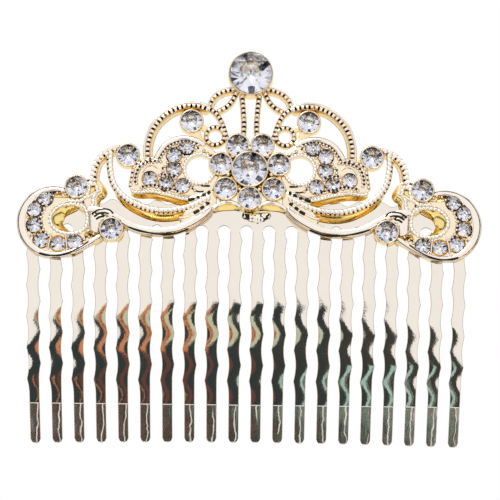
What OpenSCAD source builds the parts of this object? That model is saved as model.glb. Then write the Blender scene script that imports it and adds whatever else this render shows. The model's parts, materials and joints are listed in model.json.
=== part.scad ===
// Hair comb: a curved toothed comb with a pierced, jewelled ornament soldered to its spine.
// The comb stands on its tooth tips and its front faces -Y. The origin is level with the tips, below
// the middle of the ornament.

/* [Comb] */
// Number of teeth
teeth = 20; // [16:2:20]
// Distance between teeth at the spine, mm
root_pitch = 4.03; // [3.9:0.01:4.1]
// Distance between teeth at the tips, mm
tip_pitch = 3.96; // [3.85:0.01:4.1]
// Thickness of the comb's sheet, mm
sheet = 0.9; // [0.7:0.05:1.1]
// Radius that the teeth curve to, on their front, mm
tooth_radius = 88; // [80:1:120]
// Height of the gaps' round tops above the tips, mm
gap_top = 39.6; // [38:0.1:40]
// Height of the middle of the spine's wavy top edge, mm
spine_top = 43.75; // [43:0.05:45]
// How far a tooth's points stand out from its centre line, mm
tooth_half = 1.3; // [1.15:0.05:1.35]
// Distance between two points along a tooth's edge, mm
wave_pitch = 5.6; // [5.4:0.05:5.7]
// Depth of the hollows between a tooth's points, mm
wave_depth = 0.38; // [0.2:0.02:0.44]
// Height of the coined, thinner end of each tooth, mm
coined_h = 7.4; // [5:0.1:9]

/* [Ornament] */
// Angle that the spine and the ornament lean back, degrees
lean = 10; // [6:0.5:12]
// Thickness of the casting's strands, mm
casting_t = 2; // [1.6:0.1:2.4]
// How far left of the ornament's middle the comb is soldered, mm
comb_shift = 0.45; // [0:0.05:1]
// Gap that the solder fills between casting and spine, mm
solder_gap = 0.35; // [0.2:0.05:0.5]
// Wall of the cups round the larger stones, mm
cup_wall = 0.2; // [0.15:0.05:0.3]
// Width of the beaded strands, mm
strand_w = 1; // [0.8:0.05:1.1]

/* [Stones] */
// Diameter of the crown stone, mm
crown_d = 7.7; // [7:0.1:8.2]
// Diameter of the stone in the middle of the flower, mm
center_d = 6.3; // [6:0.05:6.4]
// Diameter of the petals and the single stones, mm
single_d = 3.95; // [3.7:0.05:4]
// Diameter of the small stones in the wings and the end scrolls, mm
small_d = 2.6; // [2.4:0.05:2.6]
// Space round a stone in its seat, mm
seat_gap = 0.04; // [0.02:0.01:0.08]

/* [Hidden] */
$fn = 48;
// Half widths of a tooth where a gap's round top starts and along its straight end
root_half = 0.87;
straight_half = 0.85;
gap_r = root_pitch / 2 - root_half;
tooth_top = gap_top - gap_r;
comb_w = (teeth - 1) * root_pitch + 2 * tooth_half;
// Heights of the highest point on a tooth's right edge and on its left edge
right_point_h = 37;
left_point_h = right_point_h - wave_pitch / 2;
points_per_edge = 5;
// The middle teeth end this much higher than the outer ones
tip_rise = 0.5;
coined_step = 0.12;
// Half height of the ripples along the spine's top edge
ripple = 0.45;
// Height at which the ornament's plane is fixed to the spine
plane_h = 41.5;
arc_start_h = 39;
arc_center_h = arc_start_h - tooth_radius * sin(lean);
// Puts the origin halfway between the front of the ornament and the back of the crown
teeth_front = 2.26;
arc_center_y = tooth_radius - teeth_front;
spine_front_y = arc_center_y - tooth_radius * cos(lean);
// Fronts of the cups, above the casting's back
cup_top = 2.3;
flower_top = 2.6;
center_top = 3.3;
crown_top = 3.6;
// Depths of the stones' girdles below the fronts of their cups, and of the small ones below the casting's
girdle_drop = 0.25;
small_drop = 0.1;
// Cracks narrower than twice this are filled
blend = 0.2;
// A flat disc under a cup is this much smaller than the cup, so that the cup alone is seen
disc_inset = 0.25;

gilt = "#e6c489";
gilt_dark = "#cfa863";
glass = "#dfe6f0";

sides = ["right", "left"];

// Stone places, as [distance from the middle, height above the tips], on the right-hand side.
crown_at = [0, 67.2];
center_at = [0, 49.9];
petals_at = [
    [2.23, 54.2], [5.22, 50.8], [4.3, 46.35], [0, 44.7],
    [-4.3, 46.35], [-5.22, 50.8], [-2.23, 54.2],
];
singles_at = [[10.57, 58.5], [21.9, 52.2], [31, 46.4], [24.65, 38.9]];
wing_stones_at = [[11.36, 53.7], [13.66, 52.2], [13.6, 49.6], [12.06, 46.7], [15, 47.1], [17.93, 47.9]];
scroll_stones_at = [[36.6, 44.2], [38.5, 42.2], [38.4, 39.4], [37.15, 36.7], [34.1, 36.1], [31.1, 36.4]];

// Centre lines and outlines of the casting, right-hand side, in the same terms.
stem_line = [[1.6, 63.4], [1.3, 60.4], [1.15, 57.8], [1.25, 55.8]];
loop_outer_line = [[2.8, 64.3], [4.2, 64.2], [5.9, 63.5], [7, 62.4], [7.4, 61.2]];
loop_inner_line = [[2.5, 63.9], [3.4, 62.1], [4.5, 61], [6, 60.2]];
arch_line = [[18.5, 51.2], [18.5, 54.2], [17.4, 57.4], [15, 59.9], [12.2, 61.2], [9.4, 61.3], [7.3, 60.7]];
arch_tail_line = [[7.8, 61], [6.2, 59.9], [5.1, 58.2], [4.5, 56.4], [4.1, 55]];
ring_at = [6.3, 55.8];
wing_outline = [
    [8, 54.2], [9.5, 55.2], [11.3, 55.6], [13, 55.5], [14.7, 54.8], [16.1, 53.5], [17.1, 51.8],
    [18.8, 51.2], [20.6, 50.3], [21.1, 48.2], [21.5, 46.2], [20.1, 45.3], [17.5, 45.6], [14.5, 45],
    [11.8, 44.3], [9.4, 44.2], [7, 45.4], [5.5, 49], [6, 52.6],
];
wing_hole_at = [9, 49.8];
wing_hole_r = 2.45;
ring_r = 1.2;
// Plate that joins the petals' cups
flower_plate_r = 4.55;
inner_scroll_line = [
    [25.1, 52.9], [25.2, 50.5], [24.5, 47.1], [22.4, 44.5], [18.9, 42.8], [16, 42.2], [13, 42.4],
    [10, 43.25], [7, 44.8],
];
shoulder_line = [[23, 53.4], [24.9, 53], [26.6, 51.9], [27.7, 50.1], [28, 48.2], [28.3, 46.4]];
hinge_outline = [
    [27.2, 47.8], [26.3, 45.6], [27.3, 44.5], [27.4, 42.7], [30, 42.3], [32.2, 44.9], [30.4, 47.2],
];
swag_upper_line = [
    [29.5, 42.3], [26.2, 42.6], [23.9, 41.7], [20.4, 39.4], [16, 38.6], [11.5, 39.8], [9.2, 41.1],
    [6.7, 42.9],
];
swag_lower_line = [
    [24, 39.7], [21.9, 39.7], [20.1, 38.9], [17.5, 38.35], [15.2, 38.35], [10.7, 39.9], [6.8, 42.5],
];
curl_at = [26.9, 40.3];
curl_r = 2.3;
scroll_at = [35.1, 40];
scroll_r = 6.5;
scroll_hole = [
    [29.2, 40.2], [29.7, 42.4], [31.5, 42.9], [33.8, 42.6], [35.2, 41.2], [35.1, 39.6], [33.8, 38.5],
    [31.6, 38.2], [29.9, 38.8],
];
scroll_tail = [
    [36.6, 33.7], [34.6, 33.6], [31.5, 34.3], [28.9, 35.6], [26.2, 37.2], [26.5, 39], [29, 38.4],
    [33, 37.6], [37, 36],
];
under_arch_line = [[6.6, 42.6], [5.4, 43.5], [4, 43.9], [2.6, 43.7], [1.6, 43]];
// Widths of the strands that are wider or narrower than the beaded ones, as shares of those
arch_share = 1.35;
inner_scroll_share = 1.15;
shoulder_share = 1.3;
swag_upper_share = 0.7;
swag_lower_share = 0.8;
ring_share = 0.85;
// Solder joints: the middle one and the outer ones behind the swags, with their radii
center_pad_at = [0, 42.9];
center_pad_r = 0.9;
side_pad_at = [27, 41.3];
side_pad_r = 1.5;
// Drops that were squeezed out of the middle joint, as [distance, height, radius]
solder_drops = [[-0.5, 41.5, 0.7], [1.6, 41.1, 0.9], [3.2, 41.4, 0.65]];
// Short bridges that tie the strands and the single stones' cups together, each with its width
bridges = [
    [[[10.2, 57.4], [9.4, 55], [8.2, 54]], 2],
    [[[7.6, 56.8], [9, 57.8]], 1.1],
    [[[11, 60.6], [10.8, 60]], 2],
    [[[18.6, 51.4], [20.4, 51.4]], 1.4],
    [[[20.4, 50.4], [21, 51]], 1.4],
    [[[31.4, 45.6], [33.6, 44.9]], 1.8],
];

// A place on the front of the casting or of a cup, given by distance and height, taken into the
// leaning plane of the ornament's back. The front stands that much above the plane.
function in_plane(p, front = casting_t) = [p[0], (p[1] - plane_h - front * sin(lean)) / cos(lean)];

// Points along a smooth curve that passes through every given point.
function between(a, b, c, d, t) =
    0.5 * (2 * b + (c - a) * t + (2 * a - 5 * b + 4 * c - d) * t * t + (3 * b - a - 3 * c + d) * pow(t, 3));
function smooth_open(p, steps = 3) = let (n = len(p)) concat(
    [for (i = [0 : n - 2], k = [0 : steps - 1])
        between(p[max(i - 1, 0)], p[i], p[i + 1], p[min(i + 2, n - 1)], k / steps)],
    [p[n - 1]]
);
function smooth_closed(p, steps = 3) = let (n = len(p))
    [for (i = [0 : n - 1], k = [0 : steps - 1])
        between(p[(i + n - 1) % n], p[i], p[(i + 1) % n], p[(i + 2) % n], k / steps)];
function along(points) = smooth_open([for (p = points) in_plane(p)]);
function around(points) = smooth_closed([for (p = points) in_plane(p)]);

// The two edges of a band of one width that follows a path.
function side_step(path, i, w) = let (
    step = path[min(i + 1, len(path) - 1)] - path[max(i - 1, 0)],
    way = step / norm(step)
) w / 2 * [-way[1], way[0]];
function band_outline(path, w) = let (n = len(path)) concat(
    [for (i = [0 : n - 1]) path[i] + side_step(path, i, w)],
    [for (i = [n - 1 : -1 : 0]) path[i] - side_step(path, i, w)]
);

module strand(line, w = strand_w) {
    path = along(line);
    polygon(band_outline(path, w));
    for (end = [path[0], path[len(path) - 1]])
        translate(end) circle(d = w, $fn = 12);
}

function cup_r(d) = d / 2 + cup_wall;

module disc_at(place, r, front = casting_t) {
    translate(in_plane(place, front)) circle(r);
}

// --- The comb -------------------------------------------------------------------------------

function tooth_x(i, h) =
    (i - (teeth - 1) / 2) * (tip_pitch + (root_pitch - tip_pitch) * h / tooth_top);
function tip_h(i) = tip_rise * (1 - pow(tooth_x(i, 0) / tooth_x(0, 0), 2));

// Half width of a tooth at a height, on the edge whose highest point is at point_h: hollows between
// points, down to a straight end.
function hollow(t) = tooth_half - 4 * wave_depth * t * (1 - t);
function edge(h, point_h) = let (
    waves = (point_h - h) / wave_pitch,
    past_last = waves - (points_per_edge - 1)
) waves < 0 ? hollow(min(0.5, -waves))
    : past_last < 0 ? hollow(waves - floor(waves))
    : max(straight_half, hollow(min(0.5, past_last)));

module tooth_outline(i) {
    tip = tip_h(i) + straight_half;
    // Both edges' points fall on this step, which starts from the right edge's highest point
    step = wave_pitch / 4;
    wavy_h = points_per_edge * wave_pitch;
    heights = concat(
        [tip],
        [for (h = [right_point_h - wavy_h : step : tooth_top]) h],
        [tooth_top + gap_r / 2]
    );
    last = len(heights) - 1;
    polygon(concat(
        [for (h = heights) [tooth_x(i, h) + edge(h, right_point_h), h]],
        [for (k = [last : -1 : 0]) [tooth_x(i, heights[k]) - edge(heights[k], left_point_h), heights[k]]]
    ));
    translate([tooth_x(i, 0), tip]) circle(straight_half);
}

module spine_outline() {
    steps = teeth * 6;
    end = comb_w / 2;
    corner = 1;
    function rippled(x) = [x, spine_top + ripple * cos(360 * x / root_pitch)];
    difference() {
        polygon(concat(
            [[end, tooth_top], [end, spine_top - corner]],
            [for (k = [0 : steps]) rippled((end - corner) * (1 - 2 * k / steps))],
            [[-end, spine_top - corner], [-end, tooth_top]]
        ));
        for (i = [0 : teeth - 2])
            translate([(i - (teeth - 2) / 2) * root_pitch, tooth_top]) circle(gap_r);
    }
}

// Side view of the sheet, with Y to the right: a straight spine, and one arc for the teeth that ends
// in a thinner, coined stretch.
module sheet_profile() {
    // Both reach past the outline that cuts this profile
    reach = tooth_radius / 4;
    spine_h = 7;
    module ring(front_r) {
        translate([arc_center_y, arc_center_h]) difference() {
            circle(front_r);
            circle(tooth_radius - sheet);
        }
    }
    module from_arc_start() {
        translate([spine_front_y, arc_start_h]) rotate(-lean) children();
    }
    intersection() {
        ring(tooth_radius);
        translate([-reach, coined_h]) square([2 * reach, arc_start_h]);
        from_arc_start() translate([-reach, -arc_start_h]) square([2 * reach, arc_start_h]);
    }
    intersection() {
        ring(tooth_radius - coined_step);
        translate([-reach, -1]) square([2 * reach, coined_h + 1]);
    }
    from_arc_start() square([sheet, spine_h]);
}

module tooth_comb() {
    // Deeper than the curved sheet and wider than the comb
    outline_depth = 40;
    profile_w = comb_w + 4;
    color(gilt) translate([-comb_shift, 0, 0]) intersection() {
        rotate([90, 0, 0]) linear_extrude(outline_depth, center = true) {
            spine_outline();
            for (i = [0 : teeth - 1]) tooth_outline(i);
        }
        rotate([90, 0, 90]) linear_extrude(profile_w, center = true) sheet_profile();
    }
}

// --- The ornament ---------------------------------------------------------------------------

// Children are drawn flat, with their back on the casting's back, and come out leaning.
module on_ornament() {
    y = spine_front_y + (plane_h - arc_start_h) * tan(lean) - solder_gap / cos(lean);
    translate([0, y, plane_h]) rotate([90 - lean, 0, 0]) children();
}

module wing_outline_2d() {
    difference() {
        polygon(around(wing_outline));
        disc_at(wing_hole_at, wing_hole_r);
    }
}

module end_scroll_2d() {
    difference() {
        union() {
            disc_at(scroll_at, scroll_r);
            polygon(around(scroll_tail));
        }
        polygon(around(scroll_hole));
    }
    disc_at(curl_at, curl_r);
    polygon(around(hinge_outline));
}

module half_casting_2d() {
    difference() {
        union() {
            strand(stem_line);
            strand(loop_outer_line);
            strand(loop_inner_line);
            strand(arch_line, arch_share * strand_w);
            strand(arch_tail_line);
            disc_at(ring_at, ring_r + ring_share * strand_w);
            wing_outline_2d();
            strand(inner_scroll_line, inner_scroll_share * strand_w);
            strand(shoulder_line, shoulder_share * strand_w);
            strand(swag_upper_line, swag_upper_share * strand_w);
            strand(swag_lower_line, swag_lower_share * strand_w);
            end_scroll_2d();
            strand(under_arch_line);
            for (place = singles_at) disc_at(place, cup_r(single_d) - disc_inset, cup_top);
            for (bridge = bridges) strand(bridge[0], bridge[1]);
        }
        disc_at(ring_at, ring_r);
    }
}

module flower_2d() {
    for (place = petals_at) disc_at(place, cup_r(single_d) - disc_inset, flower_top);
    disc_at(center_at, flower_plate_r, center_top);
    disc_at(crown_at, cup_r(crown_d) - disc_inset, crown_top);
}

module casting_2d() {
    offset(delta = -blend) offset(delta = blend) {
        flower_2d();
        half_casting_2d();
        mirror([1, 0]) half_casting_2d();
    }
}

module cup(place, d, top) {
    translate(in_plane(place, top)) cylinder(r = cup_r(d), h = top);
}

// The round seat of a stone: its floor carries the stone's flat back point.
module seat(place, d, top, drop) {
    floor_h = top - drop - pavilion_h(d);
    translate(concat(in_plane(place, top), floor_h)) cylinder(d = d + 2 * seat_gap, h = top);
}

module all_cups() {
    cup(crown_at, crown_d, crown_top);
    cup(center_at, center_d, center_top);
    for (place = petals_at) cup(place, single_d, flower_top);
    for (place = singles_at, s = [1, -1]) cup([s * place[0], place[1]], single_d, cup_top);
}

module all_seats() {
    seat(crown_at, crown_d, crown_top, girdle_drop);
    seat(center_at, center_d, center_top, girdle_drop);
    for (place = petals_at) seat(place, single_d, flower_top, girdle_drop);
    for (place = singles_at, s = [1, -1]) seat([s * place[0], place[1]], single_d, cup_top, girdle_drop);
    for (place = concat(wing_stones_at, scroll_stones_at), s = [1, -1])
        seat([s * place[0], place[1]], small_d, casting_t, small_drop);
}

module filigree_casting() {
    color(gilt) on_ornament() difference() {
        union() {
            linear_extrude(casting_t) casting_2d();
            all_cups();
        }
        all_seats();
    }
}

// A solder joint fills the gap between casting and spine.
module solder_pad(place, r) {
    color(gilt_dark) on_ornament()
        translate(concat(in_plane(place, -solder_gap), -solder_gap)) cylinder(r = r, h = solder_gap);
}

// The middle joint also squeezed out below the flower, as a lump on the face of the spine.
module solder_center() {
    // A block behind the joint, larger than the lump
    block = 20;
    solder_pad(center_pad_at, center_pad_r);
    color(gilt_dark) on_ornament() difference() {
        hull() for (drop = solder_drops)
            translate(in_plane([drop[0], drop[1]], 0)) sphere(drop[2], $fn = 24);
        translate([-block / 2, -block / 2, -block - solder_gap]) cube(block);
    }
}

// --- The stones -----------------------------------------------------------------------------

// Shares of a stone's diameter
pavilion_share = 0.4;
crown_share = 0.13;
table_share = 0.3;
point_share = 0.08;
girdle_share = 0.03;

function pavilion_h(d) = pavilion_share * d;

// A cut stone with its girdle at the origin: flat table in front, cone behind.
module chaton(d) {
    crown_h = crown_share * d;
    rotate_extrude() polygon([
        [0, -pavilion_h(d)], [point_share * d, -pavilion_h(d)], [d / 2, -girdle_share * d], [d / 2, 0],
        [table_share * d, crown_h], [0, crown_h],
    ]);
}

module stone(place, d, top, drop = girdle_drop) {
    color(glass) on_ornament() translate(concat(in_plane(place, top), top - drop)) chaton(d);
}

function on_side(side, place) = [side == "right" ? place[0] : -place[0], place[1]];

tooth_comb();
filigree_casting();
solder_center();
solder_pad(on_side("left", side_pad_at), side_pad_r);  // solder_left
solder_pad(on_side("right", side_pad_at), side_pad_r);  // solder_right
stone(crown_at, crown_d, crown_top);  // crown_stone
stone(center_at, center_d, center_top);  // center_stone
for (i = [1 : len(petals_at)])
    stone(petals_at[i - 1], single_d, flower_top);
for (side = sides, i = [1 : len(singles_at)])
    stone(on_side(side, singles_at[i - 1]), single_d, cup_top);
for (side = sides, i = [1 : len(wing_stones_at)])
    stone(on_side(side, wing_stones_at[i - 1]), small_d, casting_t, small_drop);
for (side = sides, i = [1 : len(scroll_stones_at)])
    stone(on_side(side, scroll_stones_at[i - 1]), small_d, casting_t, small_drop);
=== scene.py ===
"""The looks of a hair comb: a plated sheet comb and a cast filigree ornament with foil-backed stones.

Shapes are made in millimetres and come out in metres. The comb is drawn as distance from its middle
and height above its tips. The ornament is drawn on its own leaning plane, as distance from its middle,
distance up the plane and height above the casting's back.
"""

import json
import math

import bmesh
import bpy
import numpy as np
from mathutils import Matrix, Vector


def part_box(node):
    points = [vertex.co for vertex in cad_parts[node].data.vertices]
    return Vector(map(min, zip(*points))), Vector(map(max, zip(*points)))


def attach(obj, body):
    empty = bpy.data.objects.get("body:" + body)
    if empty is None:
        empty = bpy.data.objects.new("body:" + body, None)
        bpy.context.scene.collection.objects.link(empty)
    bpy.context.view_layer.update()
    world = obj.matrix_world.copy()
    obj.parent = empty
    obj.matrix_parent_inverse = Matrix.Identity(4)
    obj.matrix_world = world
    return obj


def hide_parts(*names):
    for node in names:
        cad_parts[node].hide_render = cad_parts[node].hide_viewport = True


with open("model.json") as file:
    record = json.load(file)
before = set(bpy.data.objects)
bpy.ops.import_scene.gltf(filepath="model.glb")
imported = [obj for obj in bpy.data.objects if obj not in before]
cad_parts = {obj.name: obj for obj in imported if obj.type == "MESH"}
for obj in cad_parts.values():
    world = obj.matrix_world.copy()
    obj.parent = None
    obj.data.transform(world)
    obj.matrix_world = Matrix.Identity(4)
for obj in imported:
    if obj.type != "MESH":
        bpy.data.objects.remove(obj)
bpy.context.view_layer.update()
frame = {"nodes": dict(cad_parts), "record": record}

MM = 0.001
LEAN = math.radians(10)
UP = Vector((0, math.sin(LEAN), math.cos(LEAN)))
OUT = Vector((0, -math.cos(LEAN), math.sin(LEAN)))

# The comb's sheet, as in the CAD
TEETH = 20
ROOT_PITCH = 4.03
TIP_PITCH = 3.96
SHEET = 0.9
TOOTH_RADIUS = 88.0
TEETH_FRONT = 2.26
ARC_START = 39.0
ROOT_HALF = 0.87
STRAIGHT_HALF = 0.85
TOOTH_HALF = 1.3
WAVE_PITCH = 5.6
WAVE_DEPTH = 0.38
POINTS_PER_EDGE = 5
RIGHT_POINT = 37.0
GAP_TOP = 39.6
SPINE_TOP = 43.75
RIPPLE = 0.45
TIP_RISE = 0.5
COINED = 7.4
COINED_STEP = 0.12
GAP_R = ROOT_PITCH / 2 - ROOT_HALF
TOOTH_TOP = GAP_TOP - GAP_R
ARC_Z = ARC_START - TOOTH_RADIUS * math.sin(LEAN)
ARC_Y = TOOTH_RADIUS - TEETH_FRONT
SPINE_FRONT = ARC_Y - TOOTH_RADIUS * math.cos(LEAN)

# The ornament, as in the CAD
CASTING_T = 2.0
SOLDER_GAP = 0.35
PLANE_H = 41.5
CUP_WALL = 0.2
BEAD_PITCH = 0.87

spine_back = next(m for m in frame["record"]["mounts"] if m["name"] == "spine_back")
comb_x = spine_back["pos_m"][0] / MM
plane_y = spine_back["pos_m"][1] / MM - (SHEET + SOLDER_GAP) / math.cos(LEAN)
PLANE = Matrix((
    (MM, 0, 0, 0),
    (0, UP.y * MM, OUT.y * MM, plane_y * MM),
    (0, UP.z * MM, OUT.z * MM, PLANE_H * MM),
    (0, 0, 0, 1),
))

# Lines of the right half of the casting, as [distance from the middle, height above the tips]
STEM = [[1.6, 63.4], [1.3, 60.4], [1.15, 57.8], [1.25, 55.8]]
LOOP_OUTER = [[2.8, 64.3], [4.2, 64.2], [5.9, 63.5], [7, 62.4], [7.4, 61.2]]
LOOP_INNER = [[2.5, 63.9], [3.4, 62.1], [4.5, 61], [6, 60.2]]
ARCH = [[18.5, 51.2], [18.5, 54.2], [17.4, 57.4], [15, 59.9], [12.2, 61.2], [9.4, 61.3], [7.3, 60.7]]
ARCH_TAIL = [[7.8, 61], [6.2, 59.9], [5.1, 58.2], [4.5, 56.4], [4.1, 55]]
RING = [6.3, 55.8]
WING = [
    [8, 54.2], [9.5, 55.2], [11.3, 55.6], [13, 55.5], [14.7, 54.8], [16.1, 53.5], [17.1, 51.8],
    [18.8, 51.2], [20.6, 50.3], [21.1, 48.2], [21.5, 46.2], [20.1, 45.3], [17.5, 45.6], [14.5, 45],
    [11.8, 44.3], [9.4, 44.2], [7, 45.4], [5.5, 49], [6, 52.6],
]
WING_TOP = WING[:7]
WING_SIDE = [*WING[6:10], [21.4, 46.4]]
WING_UNDER = [
    [21.2, 45.8], [20.1, 45.5], [17.5, 45.7], [14.5, 45.15], [11.8, 44.45], [9.4, 44.35], [7.4, 45.3],
]
WING_HOLE = [9, 49.8]
WING_HOLE_R = 2.45
INNER_SCROLL = [
    [25.1, 52.9], [25.2, 50.5], [24.5, 47.1], [22.4, 44.5], [18.9, 42.8], [16, 42.2], [13, 42.4],
    [10, 43.25], [7, 44.8],
]
SHOULDER = [[23, 53.4], [24.9, 53], [26.6, 51.9], [27.7, 50.1], [28, 48.2], [28.3, 46.4]]
HINGE = [[27.2, 47.8], [26.3, 45.6], [27.3, 44.5], [27.4, 42.7], [30, 42.3], [32.2, 44.9], [30.4, 47.2]]
SWAG = [
    [29, 42.2], [26.4, 42], [23.8, 40.9], [20.3, 39.1], [16.6, 38.5], [13.4, 38.8], [10.8, 39.8], [8.4, 41.3],
    [6.9, 42.8],
]
FAN = [
    [12.2, 40], [11.8, 41.8], [10.6, 43.2], [11.2, 44.6], [7.2, 46], [6, 45], [6.2, 42.8], [8.6, 40.8],
    [10.8, 39.7],
]
CURL = [26.9, 40.3]
CURL_R = 2.3
# The curl's grooves, each drawn as a black line of painted shade
CURL_GROOVES = [
    [[28.2, 41.4], [27.2, 42.1], [26, 42.35], [25, 42.15], [24.3, 41.5]],
    [[27.8, 41], [26.9, 41.55], [25.9, 41.7], [25.1, 41.5]],
    [[27.4, 40.5], [26.7, 40.95], [25.9, 41.1]],
]
SCROLL = [35.1, 40]
SCROLL_R = 6.5
SCROLL_HOLE = [
    [29.2, 40.2], [29.7, 42.4], [31.5, 42.9], [33.8, 42.6], [35.2, 41.2], [35.1, 39.6], [33.8, 38.5],
    [31.6, 38.2], [29.9, 38.8],
]
SCROLL_TAIL = [
    [32.6, 34], [31.5, 34.3], [28.9, 35.6], [26.2, 37.2], [26.5, 39], [29, 38.4], [31, 38.1], [32.6, 37.6],
]
UNDER_ARCH = [[6.6, 42.6], [5.4, 43.5], [4, 43.9], [2.6, 43.7], [1.6, 43]]
BRIDGES = [
    ([[10.2, 57.4], [9.4, 55], [8.2, 54]], 2.0),
    ([[7.6, 56.8], [9, 57.8]], 1.1),
    ([[11, 60.6], [10.8, 60]], 2.0),
    ([[18.6, 51.4], [20.4, 51.4]], 1.4),
    ([[20.4, 50.4], [21, 51]], 1.4),
    ([[31.4, 45.6], [33.6, 44.9]], 1.8),
]


# --- Curves ----------------------------------------------------------------------------------


def in_plane(points, front=CASTING_T):
    """Distances and heights of places on the casting's front, taken into the ornament's plane."""
    p = np.array(points, float).reshape(-1, 2)
    up = (p[:, 1] - PLANE_H - front * math.sin(LEAN)) / math.cos(LEAN)
    return np.column_stack([p[:, 0], up])


def smooth(points, closed=False, steps=12):
    """A Catmull-Rom curve through every point."""
    p = np.array(points, float)
    n = len(p)
    out = []
    for i in range(n if closed else n - 1):
        if closed:
            a, b, c, d = p[i - 1], p[i], p[(i + 1) % n], p[(i + 2) % n]
        else:
            a, b, c, d = p[max(i - 1, 0)], p[i], p[i + 1], p[min(i + 2, n - 1)]
        for t in np.arange(steps) / steps:
            out.append(0.5 * (
                2 * b + (c - a) * t + (2 * a - 5 * b + 4 * c - d) * t * t + (3 * b - a - 3 * c + d) * t**3
            ))
    if not closed:
        out.append(p[-1])
    return np.array(out)


def curve_of(line, closed=False, steps=12):
    """A smooth path in the plane through a line of distances and heights."""
    return smooth(in_plane(line), closed, steps)


def length_along(path):
    return np.concatenate([[0], np.cumsum(np.linalg.norm(np.diff(path, axis=0), axis=1))])


def evenly(path, count, closed=False):
    """count points at equal distances along a path."""
    if closed:
        path = np.vstack([path, path[:1]])
    along = length_along(path)
    at = np.linspace(0, along[-1], count, endpoint=not closed)
    return np.column_stack([np.interp(at, along, path[:, k]) for k in range(2)])


def circle(center, r, count=64):
    a = np.arange(count) * 2 * math.pi / count
    return np.array(center) + r * np.column_stack([np.cos(a), np.sin(a)])


def left_of(path, closed=False):
    """Unit vectors to the left of the path's way."""
    if closed:
        way = np.roll(path, -1, axis=0) - np.roll(path, 1, axis=0)
    else:
        way = np.gradient(path, axis=0)
    way /= np.linalg.norm(way, axis=1)[:, None]
    return np.column_stack([-way[:, 1], way[:, 0]])


def smoothstep(x):
    x = np.clip(x, 0, 1)
    return x * x * (3 - 2 * x)


def put_in_scene(name, data):
    placed = bpy.data.objects.new(name, data)
    bpy.context.scene.collection.objects.link(placed)
    return placed


def mesh_of(name, points, faces):
    mesh = bpy.data.meshes.new(name)
    mesh.from_pydata(points, [], faces)
    return mesh


# --- Shells ----------------------------------------------------------------------------------


class Shells:
    """Closed shells that together make a piece. Each point keeps how dark it is painted as shade, 0 to 1."""

    def __init__(self):
        self.points = []
        self.faces = []
        self.notch = []

    def add(self, points, faces, notch=None):
        start = len(self.points)
        self.points.extend(map(tuple, points))
        self.faces.extend([tuple(start + i for i in f) for f in faces])
        self.notch.extend(np.zeros(len(points)) if notch is None else notch)

    def add_mirrored(self):
        """Doubles everything to the other side of the middle."""
        start = len(self.points)
        self.points.extend([(-p[0], p[1], p[2]) for p in self.points])
        self.faces.extend([tuple(start + i for i in reversed(f)) for f in self.faces])
        self.notch.extend(self.notch)


def cross_section(*rows):
    """A strand's section, as [share of the half width, share of the height, how far notches cut it, how dark
    it is painted, as painted shade]. The last two are 0 where they are left out. The left of a strand's way
    is the positive side, and where the other side reaches well past -1 it is drafted and shows as a sloping
    wall.
    """
    return np.array([[*row, 0, 0][:4] for row in rows])


# A row's fourth number, where given, is painted shade: dark on the strands' sides and in their grooves
# A notched round top on nearly upright sides
ROUND = cross_section(
    [-1.1, 0], [-1.14, 0.1], [-1, 0.62, 0, 0.3], [-0.94, 0.82, 0.3, 0.25], [-0.7, 0.93, 1],
    [-0.4, 0.99, 1], [0, 1, 1], [0.3, 0.99, 1], [0.6, 0.95, 0.6], [0.9, 0.84, 0, 0.25], [1, 0.62, 0, 0.3],
    [1.12, 0.1], [1.05, 0],
)
# A smooth rim on the left with ribs beside it
RIMMED = cross_section(
    [-1.5, 0], [-1.6, 0.1], [-1.1, 0.55, 0, 0.3], [-0.95, 0.8, 0, 0.3], [-0.78, 0.9, 0.3],
    [-0.6, 0.94, 1], [-0.1, 0.95, 1], [0.2, 0.95, 0.5], [0.3, 0.93, 0.2, 0.3], [0.42, 0.97], [0.6, 1],
    [0.8, 1], [0.94, 0.95], [1, 0.84, 0, 0.35], [1, 0.1], [0.88, 0],
)
# A flat band with dots along its left edge
DOTTED = cross_section(
    [-1, 0], [-1.06, 0.1], [-1, 0.84, 0, 0.3], [-0.88, 0.96], [-0.66, 1, 0.1], [0, 1, 0.16],
    [0.36, 0.99, 0.3], [0.55, 0.96, 1], [0.76, 0.93, 1], [0.92, 0.86, 0.3, 0.1], [1, 0.7, 0, 0.3],
    [1, 0.1], [0.9, 0],
)
# A smooth band with a groove near its left edge, the groove and the sides painted dark as painted shade
GROOVED = cross_section(
    [-0.9, 0], [-1, 0.1], [-1, 0.85, 0, 0.4], [-0.9, 0.96], [-0.6, 1], [0.1, 1], [0.44, 0.97, 0, 0.05],
    [0.5, 0.84, 0, 0.8], [0.56, 0.84, 0, 0.8], [0.63, 0.96, 0, 0.05], [0.8, 1], [0.92, 0.96],
    [1, 0.82, 0, 0.5], [1, 0.1, 0, 0.3], [0.9, 0],
)
# Broad and flat with dots inside its drafted edge
SHOULDER_SECTION = cross_section(
    [-1.4, 0], [-1.5, 0.1], [-1.1, 0.6, 0, 0.2], [-0.96, 0.84, 0, 0.3], [-0.78, 0.93, 0.4],
    [-0.56, 0.97, 1], [-0.26, 0.99, 1], [-0.06, 1, 0.4], [0.3, 1, 0.16], [0.8, 1, 0.1], [0.94, 0.94],
    [1, 0.84, 0, 0.4], [1, 0.1], [0.88, 0],
)
SMOOTH = cross_section(
    [-0.9, 0], [-1, 0.1], [-1, 0.8, 0, 0.3], [-0.9, 0.94], [-0.5, 1], [0.5, 1], [0.9, 0.94],
    [1, 0.8, 0, 0.3], [1, 0.1], [0.9, 0],
)
# A narrow strip painted black, painted shade that stands for a groove
SHADE_STRIP = cross_section(
    [-1, 0.8, 0, 1], [-1, 0.96, 0, 1], [-0.5, 1, 0, 1], [0.5, 1, 0, 1], [1, 0.96, 0, 1], [1, 0.8, 0, 1],
)
STATIONS_PER_BEAD = 8
NOTCH_SHAPE = np.array([1, 0.5, 0, 0, 0, 0, 0, 0.5])


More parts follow.
